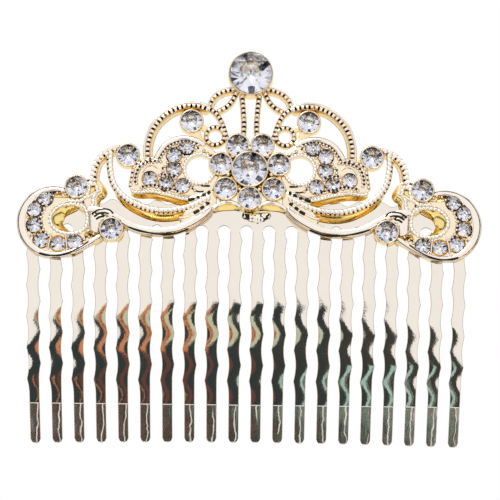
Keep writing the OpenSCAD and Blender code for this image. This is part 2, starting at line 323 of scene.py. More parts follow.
def tube_faces(n, k, closed=False):
    """Faces round n stations of k points each, with caps on the ends unless the tube is closed."""
    faces = []
    for i in range(n if closed else n - 1):
        a, b = i * k, ((i + 1) % n) * k
        faces += [(a + j, b + j, b + (j + 1) % k, a + (j + 1) % k) for j in range(k)]
    if not closed:
        faces.append(tuple(range(k)))
        faces.append(tuple((n - 1) * k + j for j in reversed(range(k))))
    return faces


def sweep(shells, path, width, section, top=CASTING_T, notch_depth=0.0, closed=False):
    """A strand with STATIONS_PER_BEAD stations of the path for each bead, and one width or one for each."""
    n, k = len(path), len(section)
    side = left_of(path, closed)
    notch = NOTCH_SHAPE[np.arange(n) % STATIONS_PER_BEAD] if notch_depth else np.zeros(n)
    # How dark each bead's notches are painted, as painted shade, differing from bead to bead
    bead_shade = 0.3 + 0.9 * np.abs(np.sin(1.9 * ((np.arange(n) + STATIONS_PER_BEAD // 2) // STATIONS_PER_BEAD)))
    half = np.full(n, 1.0) * width / 2
    if not closed:
        along = length_along(path)
        from_end = np.minimum(along, along[-1] - along) / half
        half *= 0.45 + 0.55 * np.sqrt(1 - (1 - np.clip(from_end, 0, 1)) ** 2)
    cut = notch[:, None] * section[None, :, 2]
    offset = half[:, None] * section[None, :, 0] * (1 - 0.1 * cut)
    points = np.empty((n, k, 3))
    points[:, :, :2] = path[:, None, :] + side[:, None, :] * offset[:, :, None]
    points[:, :, 2] = top * section[None, :, 1] - notch_depth * cut
    # Painted shade: dark in the notches and on the section's dark rows
    dark = np.maximum(cut * bead_shade[:, None], section[None, :, 3])
    shells.add(points.reshape(-1, 3), tube_faces(n, k, closed), dark.ravel())


def strand(shells, line, width, section=ROUND, notch_depth=0.36, pitch=BEAD_PITCH, **more):
    """A notched strand along a line of distances and heights."""
    path = curve_of(line)
    beads = max(2, round(length_along(path)[-1] / pitch))
    path = evenly(path, beads * STATIONS_PER_BEAD + 1)
    sweep(shells, path, width, section, notch_depth=notch_depth, **more)


def ring(shells, path, width, section=ROUND, notch_depth=0.3, pitch=BEAD_PITCH, **more):
    """A notched strand round a closed path in the plane."""
    beads = round(length_along(np.vstack([path, path[:1]]))[-1] / pitch)
    path = evenly(path, beads * STATIONS_PER_BEAD, closed=True)
    sweep(shells, path, width, section, notch_depth=notch_depth, closed=True, **more)


# A sloping wall's section: [share of its reach, share of its height]
SKIRT = np.array([[-0.3, 0], [-0.3, 1], [0.1, 0.85], [0.45, 0.6], [0.8, 0.28], [1, 0.1], [0.95, 0]])


def skirt(shells, path, reach, top, side=1):
    """A wall that slopes away from a path, on its left or its right, and fades out at both ends."""
    n, k = len(path), len(SKIRT)
    share = np.sin(np.linspace(0.08, math.pi - 0.08, n)) ** 0.7
    out = left_of(path) * side
    points = np.empty((n, k, 3))
    offset = SKIRT[None, :, 0] * reach * share[:, None]
    points[:, :, :2] = path[:, None, :] + out[:, None, :] * offset[:, :, None]
    points[:, :, 2] = SKIRT[None, :, 1] * top
    faces = tube_faces(n, k)
    if side < 0:
        faces = [tuple(reversed(f)) for f in faces]
    shells.add(points.reshape(-1, 3), faces)


def lathe(shells, center, profile, count=40):
    """A closed shell turned round an axis square to the plane, from [radius, height, how dark as painted
    shade] points.
    """
    profile = np.array([[*p, 0][:3] for p in profile], float)
    k = len(profile)
    a = np.arange(count) * 2 * math.pi / count
    points = np.empty((count, k, 3))
    points[:, :, 0] = center[0] + np.cos(a)[:, None] * profile[None, :, 0]
    points[:, :, 1] = center[1] + np.sin(a)[:, None] * profile[None, :, 0]
    points[:, :, 2] = profile[None, :, 1]
    faces = []
    for i in range(count):
        a0, b0 = i * k, ((i + 1) % count) * k
        faces += [(a0 + j, b0 + j, b0 + j + 1, a0 + j + 1) for j in range(k - 1)]
    faces.append(tuple(i * k for i in reversed(range(count))))
    faces.append(tuple(i * k + k - 1 for i in range(count)))
    shells.add(points.reshape(-1, 3), faces, np.tile(profile[:, 2], count))


def plate(shells, outline, holes, top, edge=0.15, seats=()):
    """A flat plate with rounded edges, holes through it and round seats sunk in its front."""
    curve = bpy.data.curves.new("plate", "CURVE")
    curve.dimensions = "2D"
    curve.fill_mode = "BOTH"
    curve.extrude = top / 2 - edge
    curve.bevel_depth = edge
    curve.bevel_resolution = 1
    curve.offset = -edge
    for loop in [outline, *holes]:
        spline = curve.splines.new("POLY")
        spline.points.add(len(loop) - 1)
        for point, place in zip(spline.points, loop):
            point.co = (place[0], place[1], 0, 1)
        spline.use_cyclic_u = True
    flat = put_in_scene("plate", curve)
    graph = bpy.context.evaluated_depsgraph_get()
    mesh = bpy.data.meshes.new_from_object(flat.evaluated_get(graph))
    bpy.data.objects.remove(flat)
    mesh.transform(Matrix.Translation((0, 0, top / 2)))
    bm = bmesh.new()
    bm.from_mesh(mesh)
    bmesh.ops.remove_doubles(bm, verts=bm.verts, dist=1e-4)
    bmesh.ops.recalc_face_normals(bm, faces=bm.faces)
    bm.to_mesh(mesh)
    bm.free()
    if seats:
        mesh = cut_seats(mesh, seats)
    shells.add([v.co for v in mesh.vertices], [tuple(f.vertices) for f in mesh.polygons])


def cut_seats(mesh, seats):
    """Takes round seats, given as [center, radius, floor height], out of a plate's mesh."""
    body = put_in_scene("plate", mesh)
    cutters = []
    for center, r, floor in seats:
        tool = Shells()
        lathe(tool, center, [[r * 0.5, floor - 0.5], [r * 0.97, floor + 0.35], [r, 3.5]], count=28)
        cutter = put_in_scene("drill", mesh_of("drill", tool.points, tool.faces))
        cutters.append(cutter)
        modifier = body.modifiers.new("seat", "BOOLEAN")
        modifier.operation = "DIFFERENCE"
        modifier.solver = "MANIFOLD"
        modifier.object = cutter
    graph = bpy.context.evaluated_depsgraph_get()
    made = bpy.data.meshes.new_from_object(body.evaluated_get(graph))
    for o in [body, *cutters]:
        bpy.data.objects.remove(o)
    return made


def add_piece(name, mesh, material, nodes):
    """Makes a mesh into a piece that rides on the comb and stands for CAD nodes."""
    piece = put_in_scene(name, mesh)
    for m in material if isinstance(material, list) else [material]:
        mesh.materials.append(m)
    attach(piece, "root")
    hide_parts(*nodes)
    return piece


def shells_mesh(name, shells, sharp=50):
    """The mesh of a casting's shells, smooth but for edges sharper than an angle in degrees."""
    mesh = mesh_of(name, shells.points, shells.faces)
    # How dark each point is painted, as painted shade, for the material
    notch = mesh.attributes.new("notch", "FLOAT", "POINT")
    notch.data.foreach_set("value", np.array(shells.notch, np.float32))
    height = mesh.attributes.new("height", "FLOAT", "POINT")
    height.data.foreach_set("value", np.array([p[2] for p in shells.points], np.float32))
    mesh.transform(PLANE)
    mesh.shade_smooth()
    mesh.set_sharp_from_angle(angle=math.radians(sharp))
    return mesh


# --- Materials -------------------------------------------------------------------------------


class Nodes:
    """A short way to write a node tree."""

    def __init__(self, tree):
        self.tree = tree
        tree.nodes.clear()

    def add(self, kind, **inputs):
        node = self.tree.nodes.new(kind)
        for name, value in inputs.items():
            self.put(node, name.replace("_", " "), value)
        return node

    def put(self, node, name, value):
        socket = node.inputs[int(name)] if name.isdigit() else node.inputs[name]
        if isinstance(value, bpy.types.NodeSocket):
            self.tree.links.new(value, socket)
        else:
            socket.default_value = value

    def math(self, operation, a, b=0.0):
        node = self.tree.nodes.new("ShaderNodeMath")
        node.operation = operation
        for i, value in enumerate((a, b)):
            self.put(node, str(i), value)
        return node.outputs[0]

    def ramp(self, value, low, high, to_low=0.0, to_high=1.0):
        """value taken from low..high to to_low..to_high, smoothly and clamped."""
        node = self.tree.nodes.new("ShaderNodeMapRange")
        node.interpolation_type = "SMOOTHSTEP"
        settings = {"Value": value, "From Min": low, "From Max": high, "To Min": to_low, "To Max": to_high}
        for name, setting in settings.items():
            self.put(node, name, setting)
        return node.outputs["Result"]

    def mix(self, share, a, b):
        node = self.tree.nodes.new("ShaderNodeMix")
        node.data_type = "RGBA"
        self.put(node, "0", share)
        self.put(node, "6", a)
        self.put(node, "7", b)
        return node.outputs[2]

    def noise(self, vector, scale, detail=2.0):
        node = self.add("ShaderNodeTexNoise", Vector=vector, Scale=scale, Detail=detail)
        return node.outputs["Fac"]

    def attribute(self, name):
        node = self.add("ShaderNodeAttribute")
        node.attribute_name = name
        return node.outputs["Fac"]


def new_material(name):
    material = bpy.data.materials.new(name)
    material.use_nodes = True
    nodes = Nodes(material.node_tree)
    output = nodes.add("ShaderNodeOutputMaterial")
    place = nodes.add("ShaderNodeTexCoord").outputs["Object"]
    return material, nodes, output, place


def rgba(r, g, b):
    return (r, g, b, 1.0)


def make_metal(nodes, output, color, rough, bump=None):
    """Ends a material as bare metal of a colour and roughness."""
    shader = nodes.add("ShaderNodeBsdfPrincipled", Base_Color=color, Roughness=rough, Metallic=1.0)
    if bump:
        nodes.put(shader, "Normal", bump.outputs[0])
    nodes.put(output, "Surface", shader.outputs[0])


def plated_casting():
    """Pale gold plate over a die casting: a little pitted, with painted reflection in deeper gold low on its
    walls, and painted shade, gold to brown to black, in its notches and wherever its shells are marked dark.
    """
    material, nodes, output, place = new_material("plated_casting")
    notch = nodes.attribute("notch")
    cloud = nodes.noise(place, 900.0)
    pale = nodes.mix(cloud, rgba(0.94, 0.88, 0.81), rgba(0.93, 0.85, 0.76))
    # Painted reflection: the lower walls turn a deeper gold
    wall = nodes.ramp(nodes.attribute("height"), 1.9, 1.35)
    color = nodes.mix(wall, pale, rgba(0.96, 0.74, 0.29))
    # Painted shade: gold, then brown, then black as the marked darkness grows
    color = nodes.mix(nodes.ramp(notch, 0.04, 0.18), color, rgba(0.92, 0.72, 0.38))
    color = nodes.mix(nodes.ramp(notch, 0.2, 0.38), color, rgba(0.66, 0.42, 0.18))
    color = nodes.mix(nodes.ramp(notch, 0.42, 0.6), color, rgba(0.03, 0.025, 0.02))
    rough = nodes.ramp(nodes.noise(place, 2500.0), 0.3, 0.7, 0.08, 0.2)
    lumps = nodes.add("ShaderNodeBump", Strength=0.15, Distance=0.00006, Height=nodes.noise(place, 1400.0))
    make_metal(nodes, output, color, rough, lumps)
    return material


def plated_sheet():
    """Mirror-like pale gold plate on stamped sheet: slow dents, fine pits, and dull coined ends."""
    material, nodes, output, place = new_material("plated_sheet")
    split = nodes.add("ShaderNodeSeparateXYZ", Vector=place)
    coined = nodes.ramp(split.outputs["Z"], (COINED + 0.15) * MM, (COINED - 0.15) * MM)
    stretched = nodes.add("ShaderNodeMapping", Vector=place, Scale=(1.0, 1.0, 0.08))
    streaks = nodes.noise(stretched.outputs[0], 1800.0)
    cloud = nodes.noise(place, 350.0)
    pale = nodes.mix(cloud, rgba(0.89, 0.83, 0.76), rgba(0.87, 0.80, 0.72))
    worn = nodes.mix(streaks, rgba(0.70, 0.64, 0.55), rgba(0.95, 0.88, 0.76))
    color = nodes.mix(coined, pale, worn)
    rough = nodes.math("ADD", nodes.ramp(cloud, 0.3, 0.7, 0.02, 0.05), nodes.math("MULTIPLY", coined, 0.1))
    dents = nodes.add("ShaderNodeBump", Strength=1.0, Distance=0.00001, Height=nodes.noise(place, 220.0, 1.0))
    scratches = nodes.math("MULTIPLY", nodes.math("MULTIPLY", streaks, coined), 6.0)
    grain = nodes.math("ADD", nodes.noise(place, 2600.0), scratches)
    pits = nodes.add("ShaderNodeBump", Strength=0.06, Distance=0.00003, Height=grain, Normal=dents.outputs[0])
    weave = nodes.math("MULTIPLY", nodes.noise(place, 350.0), 0.34)
    across = nodes.math("ADD", nodes.math("DIVIDE", split.outputs["X"], TIP_PITCH * MM), weave)
    in_tooth = nodes.math("FRACT", nodes.math("ADD", across, -comb_x / TIP_PITCH))
    off_line = nodes.math("ABSOLUTE", nodes.math("SUBTRACT", in_tooth, 0.74))
    line = nodes.math("MULTIPLY", nodes.ramp(off_line, 0.03, 0.0), coined)
    line = nodes.math("MULTIPLY", line, nodes.ramp(nodes.noise(stretched.outputs[0], 120.0), 0.4, 0.55))
    burr = nodes.add("ShaderNodeBump", Strength=1.0, Distance=0.00004, Height=line, Normal=pits.outputs[0])
    make_metal(nodes, output, color, rough, burr)
    return material


def sheet_edge():
    """The sheet's rounded edges: darker and browner than its faces, and nearly black where they face down, as
    painted shade.
    """
    material, nodes, output, place = new_material("sheet_edge")
    # Painted shade: a darker brown than the sheet's faces
    color = nodes.mix(nodes.noise(place, 500.0), rgba(0.60, 0.46, 0.30), rgba(0.80, 0.68, 0.52))
    normal = nodes.add("ShaderNodeNewGeometry").outputs["True Normal"]
    facing = nodes.add("ShaderNodeSeparateXYZ", Vector=normal)
    # Painted shade: nearly black where the edge faces down
    color = nodes.mix(nodes.ramp(facing.outputs["Z"], -0.3, -0.5), color, rgba(0.06, 0.035, 0.02))
    make_metal(nodes, output, color, nodes.ramp(nodes.noise(place, 1500.0), 0.3, 0.7, 0.08, 0.2))
    return material


def solder_metal():
    """Bright smooth solder with black patches, more of them towards its left end."""
    material, nodes, output, place = new_material("solder_metal")
    cloud = nodes.noise(place, 700.0)
    color = nodes.mix(cloud, rgba(0.95, 0.91, 0.84), rgba(0.92, 0.84, 0.70))
    split = nodes.add("ShaderNodeSeparateXYZ", Vector=place)
    # Black patches, more of them towards the left end
    left_end = nodes.ramp(split.outputs["X"], 0.9 * MM, -0.5 * MM, -0.06, 0.2)
    black_patch = nodes.math("ADD", nodes.noise(place, 1300.0, 1.0), left_end)
    color = nodes.mix(nodes.ramp(black_patch, 0.53, 0.57), color, rgba(0.03, 0.025, 0.02))
    ripple = nodes.add("ShaderNodeBump", Strength=1.0, Distance=0.0001, Height=nodes.noise(place, 600.0))
    make_metal(nodes, output, color, nodes.ramp(cloud, 0.3, 0.7, 0.06, 0.14), ripple)
    return material


def cut_glass():
    """Clear glass with the faintest flaws in its polish."""
    material, nodes, output, place = new_material("cut_glass")
    shader = nodes.add("ShaderNodeBsdfPrincipled", Base_Color=rgba(0.99, 0.99, 1.0), IOR=1.56)
    nodes.put(shader, "Transmission Weight", 1.0)
    nodes.put(shader, "Roughness", nodes.ramp(nodes.noise(place, 1500.0), 0.35, 0.75, 0.0, 0.01))
    nodes.put(output, "Surface", shader.outputs[0])
    return material


def silver_foil():
    """Silver foil behind a stone: bluish and uneven, with painted reflections: darker behind some facets than
    behind others.
    """
    material, nodes, output, place = new_material("silver_foil")
    facet_shade = nodes.attribute("facet_shade")
    bright = nodes.mix(nodes.noise(place, 1200.0), rgba(0.98, 0.97, 1.0), rgba(0.92, 0.93, 0.98))
    # Painted reflections: mid grey or near black behind some facets
    color = nodes.mix(nodes.ramp(facet_shade, 0.24, 0.26), rgba(0.66, 0.68, 0.76), bright)
    color = nodes.mix(nodes.ramp(facet_shade, 0.17, 0.15), color, rgba(0.07, 0.09, 0.14))
    make_metal(nodes, output, color, nodes.ramp(nodes.noise(place, 1800.0), 0.3, 0.7, 0.1, 0.16))
    return material


# --- The comb --------------------------------------------------------------------------------


def tooth_x(i, h):
    return (i - (TEETH - 1) / 2) * (TIP_PITCH + (ROOT_PITCH - TIP_PITCH) * h / TOOTH_TOP)


def tip_height(i):
    return TIP_RISE * (1 - (tooth_x(i, 0) / tooth_x(0, 0)) ** 2)


def half_width(h, point_h):
    """Half width of a tooth at heights, on the edge whose highest point is at point_h."""
    waves = (point_h - h) / WAVE_PITCH
    past = waves - (POINTS_PER_EDGE - 1)
    t = np.where(waves < 0, np.minimum(0.5, -waves), np.where(past < 0, waves % 1, np.minimum(0.5, past)))
    hollow = TOOTH_HALF - 4 * WAVE_DEPTH * t * (1 - t)
    wavy = np.where(past < 0, hollow, np.maximum(STRAIGHT_HALF, hollow))
    into_root = smoothstep((h - TOOTH_TOP + 1.5) / 1.5)
    return wavy + (ROOT_HALF - wavy) * into_root


def sheet_front(h):
    """Where the front of the sheet is at heights: on the leaning spine, or on the teeth's arc."""
    spine = SPINE_FRONT + (h - ARC_START) * math.tan(LEAN)
    arc = ARC_Y - np.sqrt(TOOTH_RADIUS**2 - (np.minimum(h, ARC_START) - ARC_Z) ** 2)
    return np.where(h > ARC_START, spine, arc) + np.where(h < COINED, COINED_STEP, 0)


# How far a tooth's front falls back at its edges, and how far its waves twist it
CROWN = 0.009
TWIST = 0.010
TWIST_HEIGHT = 24.4
# The rolled edge that the punch leaves: how wide it is and how far back it drops
ROLLED = 0.09
ROLLED_DROP = 0.09
COINED_SLOPE = 0.07
# How far the teeth differ in their tilt
TILT = 0.004
TIP_STEPS = 8
TOOTH_STEP = 0.3
GAP_STEPS = 12
SPINE_SHARES = np.array([0, 0.02, 0.15, 0.3, 0.45, 0.6, 0.75, 0.9, 0.98, 1])


def rolled(inside):
    """How far back the front drops at a distance inside the outline."""
    return ROLLED_DROP * np.maximum(0, 1 - inside / ROLLED)


def across(left, right):
    """Places across a tooth's front, from its left edge to its right, as distances from its middle."""
    flat = np.linspace(-1, 1, 9)
    flat = flat * np.where(flat < 0, left - ROLLED, right - ROLLED)
    return np.concatenate([[-left], flat, [right]])


def worked(i, h):
    """How far back a tooth's front lies at a height, as a function of the share of its half width."""
    fade = 1 - smoothstep((h - TOOTH_TOP + 5) / 5)
    twist = TWIST * math.sin(2 * math.pi * (h - TWIST_HEIGHT) / WAVE_PITCH) - TILT * math.sin(2.3 * i)
    return lambda s: fade * (CROWN * s * s - twist * s)


def tooth_grid(i):
    """Rows of [distance, height, how far back] points up a tooth, from its round tip to its root."""
    tip = tip_height(i)
    straight = tip + STRAIGHT_HALF
    low = np.linspace(straight, COINED - COINED_SLOPE, round((COINED - straight) / TOOTH_STEP))
    high = np.linspace(COINED + COINED_SLOPE, TOOTH_TOP, round((TOOTH_TOP - COINED) / TOOTH_STEP))
    rows = []
    for a in np.linspace(math.radians(80), 0, TIP_STEPS, endpoint=False):
        rows.append((straight - STRAIGHT_HALF * math.sin(a), *2 * [STRAIGHT_HALF * math.cos(a)]))
    for h in np.concatenate([low, high]):
        rows.append((h, half_width(h, RIGHT_POINT - WAVE_PITCH / 2), half_width(h, RIGHT_POINT)))
    grid = []
    for h, left, right in rows:
        places = across(left, right)
        share = places / np.where(places < 0, left, right)
        inside = np.minimum(np.minimum(places + left, right - places), h - tip)
        back = worked(i, h)(share) + rolled(inside)
        grid.append(np.column_stack([tooth_x(i, h) + places, np.full(len(places), h), back]))
    return np.array(grid)


def spine_columns():
    """The bottom of every column of the spine, as [distance, height, how far back]."""
    bottoms = []
    for i in range(TEETH):
        for place in across(ROOT_HALF, ROOT_HALF):
            bottoms.append([tooth_x(i, TOOTH_TOP) + place, TOOTH_TOP, rolled(ROOT_HALF - abs(place))])
        if i < TEETH - 1:
            middle = (tooth_x(i, TOOTH_TOP) + tooth_x(i + 1, TOOTH_TOP)) / 2
            for a in np.linspace(math.pi, 0, GAP_STEPS + 1)[1:-1]:
                bottoms.append([middle + GAP_R * math.cos(a), TOOTH_TOP + GAP_R * math.sin(a), ROLLED_DROP])
    return np.array(bottoms)


def spine_grid():
    """Columns of the spine as rows of points, from their bottoms to the rippled top edge."""
    corner = 1.2
    bottoms = spine_columns()
    end = bottoms[-1, 0]
    x = bottoms[:, 0]
    low = bottoms[:, 1]
    from_end = end - np.abs(x)
    high = SPINE_TOP + RIPPLE * np.cos(2 * math.pi * x / ROOT_PITCH)
    high -= corner * (1 - np.sqrt(1 - (1 - np.clip(from_end / corner, 0, 1)) ** 2))
    share = SPINE_SHARES[:, None]
    height = low + (high - low) * share
    widen = 1 + (TOOTH_HALF - ROOT_HALF) / end * smoothstep(share * 3) * (from_end < 1)
    back = bottoms[:, 2] / ROLLED_DROP * rolled(height - low)
    back = np.maximum(back, rolled(high - height))
    back = np.maximum(back, rolled(from_end))
    return np.stack([x * widen, height, back], axis=2)


def comb_mesh():
    """The front of the sheet, as a grid of faces for each tooth and one for the spine."""
    flat = []
    faces = []
    for grid in [*map(tooth_grid, range(TEETH)), spine_grid()]:
        start = sum(len(g) for g in flat)
        rows, columns = grid.shape[:2]
        flat.append(grid.reshape(-1, 3))
        for r in range(rows - 1):
            for c in range(columns - 1):
                a = start + r * columns + c
                faces.append((a, a + 1, a + columns + 1, a + columns))
    flat = np.vstack(flat)
    points = np.column_stack([flat[:, 0] + comb_x, sheet_front(flat[:, 1]) + flat[:, 2], flat[:, 1]]) * MM
    mesh = mesh_of("tooth_comb", points, faces)
    edge = [1 if max(flat[v, 2] for v in f) > ROLLED_DROP / 2 else 0 for f in faces]
    mesh.polygons.foreach_set("material_index", edge)
    bm = bmesh.new()
    bm.from_mesh(mesh)
    bmesh.ops.remove_doubles(bm, verts=bm.verts, dist=0.002 * MM)
    bm.to_mesh(mesh)
    bm.free()
    mesh.shade_smooth()
    mesh.set_sharp_from_angle(angle=math.radians(30))
    return mesh


def make_comb():
    materials = [plated_sheet(), sheet_edge()]
    piece = add_piece("toothed_sheet", comb_mesh(), materials, ["tooth_comb"])
    thick = piece.modifiers.new("thickness", "SOLIDIFY")
    thick.thickness = (SHEET - ROLLED_DROP) * MM
    thick.offset = -1
    thick.material_offset_rim = 1


# --- The stones ------------------------------------------------------------------------------

# Shares of a stone's diameter, as in the CAD
CROWN_H = 0.13
TABLE_R = 0.3
PAVILION_H = 0.4
POINT_R = 0.08
GIRDLE_H = 0.03


def stone_center(node):
    """The middle of a stone's girdle in the ornament's plane, and the stone's diameter, in mm."""
    low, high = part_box(node)
    d = high.x - low.x
    lean_out, lean_up = math.cos(LEAN), math.sin(LEAN)
    back = PAVILION_H * lean_out + POINT_R * lean_up
    front = CROWN_H * lean_out + TABLE_R * lean_up
    girdle = (low + high) / 2 - Vector((0, (back - front) / 2, -GIRDLE_H * lean_up / 2)) * d
    return PLANE.inverted() @ girdle, d / MM


def brilliant(d, sides, turn):
    """Corners of a round brilliant cut with its girdle at height 0 and a number of sides below it."""
    corners = []

    def around(r, height, count, shift):
        for k in range(count):
            a = 2 * math.pi * (k + shift) / count + turn
            corners.append((r * d * math.cos(a), r * d * math.sin(a), height * d))

    around(0.28, CROWN_H, 8, 0.5)
    around(0.4, CROWN_H * 0.56, 8, 0)
    around(0.498, 0, sides, 0.5)
    around(0.498, -GIRDLE_H, sides, 0.5)
    around(0.24, -PAVILION_H * 0.6, sides // 2, 0)
    around(0.012, -PAVILION_H, 8, 0.5)
    return corners


# Facets beside a stone's girdle
STONE_SIDES = 24
# Steps of this share spread evenly, however many there are
GOLDEN = 0.618
# The next stone's facet shades start this share further on
NEXT_STONE = 0.37
# Share of a stone's diameter outside which the facets' painted shades differ
EVEN_WITHIN = 0.26
# How far a stone is turned from the one before it, in radians, and how far it may tilt, in degrees
STONE_TURN = 2.4
STONE_TILT = 1.5


def stone_mesh(name, d, turn, seed):
    """A stone, with a painted reflection shade for the foil behind each of its facets."""
    bm = bmesh.new()
    for corner in brilliant(d, STONE_SIDES, turn):
        bm.verts.new(corner)
    bmesh.ops.convex_hull(bm, input=bm.verts)
    bmesh.ops.dissolve_limit(bm, angle_limit=math.radians(1.5), verts=bm.verts, edges=bm.edges)
    bmesh.ops.recalc_face_normals(bm, faces=bm.faces)
    facet_shades = []
    for face in bm.faces:
        middle = face.calc_center_median()
        face.material_index = 1 if middle.z < -GIRDLE_H * d * 1.2 else 0
        wedge = round((math.atan2(middle.y, middle.x) - turn) * STONE_SIDES / (2 * math.pi))
        beside_girdle = math.hypot(middle.x, middle.y) > EVEN_WITHIN * d
        facet_shades.append((wedge * GOLDEN + seed * NEXT_STONE) % 1 if beside_girdle else 1)
    mesh = bpy.data.meshes.new(name)
    bm.to_mesh(mesh)
    bm.free()
    mesh.attributes.new("facet_shade", "FLOAT", "FACE").data.foreach_set("value", np.array(facet_shades, np.float32))
    return mesh


def make_stones(nodes):
    materials = [cut_glass(), silver_foil()]
    for k, node in enumerate(nodes):
        center, d = stone_center(node)
        turn = k * STONE_TURN
        tilt = Matrix.Rotation(math.radians(STONE_TILT * math.sin(k * 1.7)), 4, "X")
        tilt @= Matrix.Rotation(math.radians(STONE_TILT * math.cos(k * 2.3)), 4, "Y")
        mesh = stone_mesh(node + "_cut", d * 0.995, turn, k)
        mesh.transform(PLANE @ Matrix.Translation(center) @ tilt)
        add_piece(node + "_cut", mesh, materials, [node])


# --- The casting -----------------------------------------------------------------------------

PETALS = [f"petal_stone_{i}" for i in range(1, 8)]
# Heights of the sunk plates between the strands and of the black strips of painted shade on them
RECESS = 1.7
RECESS_TOP = 1.77
ON_TOP = CASTING_T + 0.05
POST_FOOT = 0.9


def sink_under(shells, nodes):
    """Keeps the metal inside each stone's cup below the stone."""
    for node in nodes:
        center, d = stone_center(node)
        for i, (x, up, height) in enumerate(shells.points):
            if math.hypot(x - center.x, up - center.y) < d / 2 + CUP_WALL / 2:
                shells.points[i] = (x, up, min(height, center.z - PAVILION_H * d - 0.1))


def cup(shells, node, over=0.1):
    """A thin-walled cup round a stone, with a rolled lip that reaches over the stone's edge."""
    center, d = stone_center(node)
    outer = d / 2 + CUP_WALL
    inner = d / 2 - over
    slope = CROWN_H / (0.5 - TABLE_R)
    lip = center.z + over * slope
    # The third numbers are painted shade: darker on the outer wall and darkest inside the lip, next to the
    # stone.
    lathe(shells, center, [
        [outer - 0.15, 0], [outer + 0.1, 0.15], [outer, lip - 0.15, 0.3], [outer - 0.02, lip, 0.2],
        [(outer + inner) / 2, lip + 0.1, 0.08], [inner + 0.05, lip + 0.08, 0.12], [inner, lip, 0.45],
        [d / 2 + 0.02, center.z - 0.02, 0.5], [d / 2 + 0.02, center.z - 0.15],
        [d / 8, center.z - PAVILION_H * d],
    ])


def post(shells, place, r=0.25, top=ON_TOP):
    """A round-headed prong or bead."""
    # The foot and the head's widest ring are painted dark, as painted shade.
    head = [
        [r * math.cos(a), top - r * (1 - math.sin(a)), 0.35 if a < 0.3 else 0]
        for a in np.radians([0, 20, 40, 60, 85])
    ]
    lathe(shells, place, [[r * 1.35, POST_FOOT, 0.4], [r * 1.3, RECESS + 0.04, 0.4], *head], count=10)


def pit(shells, place, r=0.22, top=1.78):
    """A small round stub painted black between beads, as painted shade."""
    lathe(shells, place, [[r, top - 0.3, 1], [r, top, 1], [r * 0.5, top + 0.02, 1]], count=8)


def prongs_between(shells, nodes, spread):
    """Prongs on both sides of each gap between neighbouring stones."""
    centers = [stone_center(node)[0] for node in nodes]
    for a, b in zip(centers, centers[1:]):
        middle = (a + b) / 2
        way = (b - a).to_2d().normalized()
        for s in (-1, 1):
            post(shells, (middle.x - way.y * spread * s, middle.y + way.x * spread * s))


def slot(shells, line, width=0.4, top=RECESS_TOP):
    """A raised black strip, painted shade that stands for a groove in a plate or between two ridges."""
    strand(shells, line, width, SHADE_STRIP, top=top, notch_depth=0)


def posts_along(shells, path, gap, aside=0.26):
    """A row of beads with a dot of painted shade between each two."""
    count = max(2, round(length_along(path)[-1] / gap))
    places = evenly(path, 2 * count - 1)
    out = left_of(places)
    for place in places[::2]:
        post(shells, place)
    for place in places[1::2] + out[1::2] * aside:
        pit(shells, place)


def seat_of(node, gap=0.1):
    center, d = stone_center(node)
    return [center, d / 2 + gap, center.z - PAVILION_H * d]


def right_nodes(kind, count):
    return [f"{kind}_stone_right_{i}" for i in range(1, count + 1)]


WING_BEADS = [
    [[16, 51], [17.6, 50.9], [19.4, 50.2], [20.2, 48.6], [20.3, 47]],
    [[15.2, 50.2], [15.6, 49.2], [15.4, 48.4]],
    [[13.2, 48.2], [14.4, 48.6], [15.6, 48.4]],
    [[9.9, 53.2], [9.2, 54.2]],
    [[8.3, 53.1], [7.6, 52.6]],
    [[10.2, 46.8], [9.8, 45.9]],
    [[12.6, 45.5], [15, 46.1], [17.4, 46.6], [19.4, 46.2]],
]
SCROLL_BEADS = [
    [[36.3, 42.9], [37, 41.6], [37.2, 40.2], [36.8, 38.6], [35.8, 37.5]],
    [[33.6, 45.4], [34.9, 45], [35.5, 43.9]],
    [[37.3, 45], [38.2, 44.3]],
    [[39.8, 38.3], [39.3, 37.3]],
    [[27.8, 37.9], [28.7, 37.3], [29.4, 36.9]],
]


def make_wing(shells):
    stones = right_nodes("wing", 6)
    outline = curve_of(WING, closed=True, steps=6)
    hole_center = in_plane(WING_HOLE)[0]
    hole = circle(hole_center, WING_HOLE_R)
    plate(shells, outline, [hole], RECESS, seats=[seat_of(n, 0.24) for n in stones])
    rim = curve_of(WING_TOP)
    sweep(shells, evenly(rim + left_of(rim) * -0.25, 90), 0.9, SMOOTH)
    strand(shells, WING_SIDE, 0.8)
    under = curve_of(WING_UNDER[::-1])
    strand(shells, WING_UNDER[::-1], 0.75, DOTTED, notch_depth=0.5, pitch=0.62)
    skirt(shells, under[12:] + left_of(under)[12:] * -0.2, 0.95, 0.95, side=-1)
    hole_rim = circle(hole_center, WING_HOLE_R + 0.36)
    ring(shells, hole_rim[::-1], 0.76, DOTTED, notch_depth=0.5, pitch=0.66)
    prongs_between(shells, stones[:3], 1.15)
    prongs_between(shells, stones[3:], 1.15)
    posts_along(shells, (rim + left_of(rim) * -0.98)[8:], 0.6)
    for line in WING_BEADS:
        posts_along(shells, curve_of(line), 0.62)
    # Two black marks of painted shade below the wing's hole
    slot(shells, [[9.6, 47.1], [8.4, 46.8], [7.1, 46.75]])
    slot(shells, [[9.9, 45.9], [8.9, 45.7], [8.2, 45.8]], 0.3)
    strand(shells, [[19.3, 49], [18.6, 50.1], [17.4, 50.4], [16.4, 49.8]], 0.4, SMOOTH, notch_depth=0)


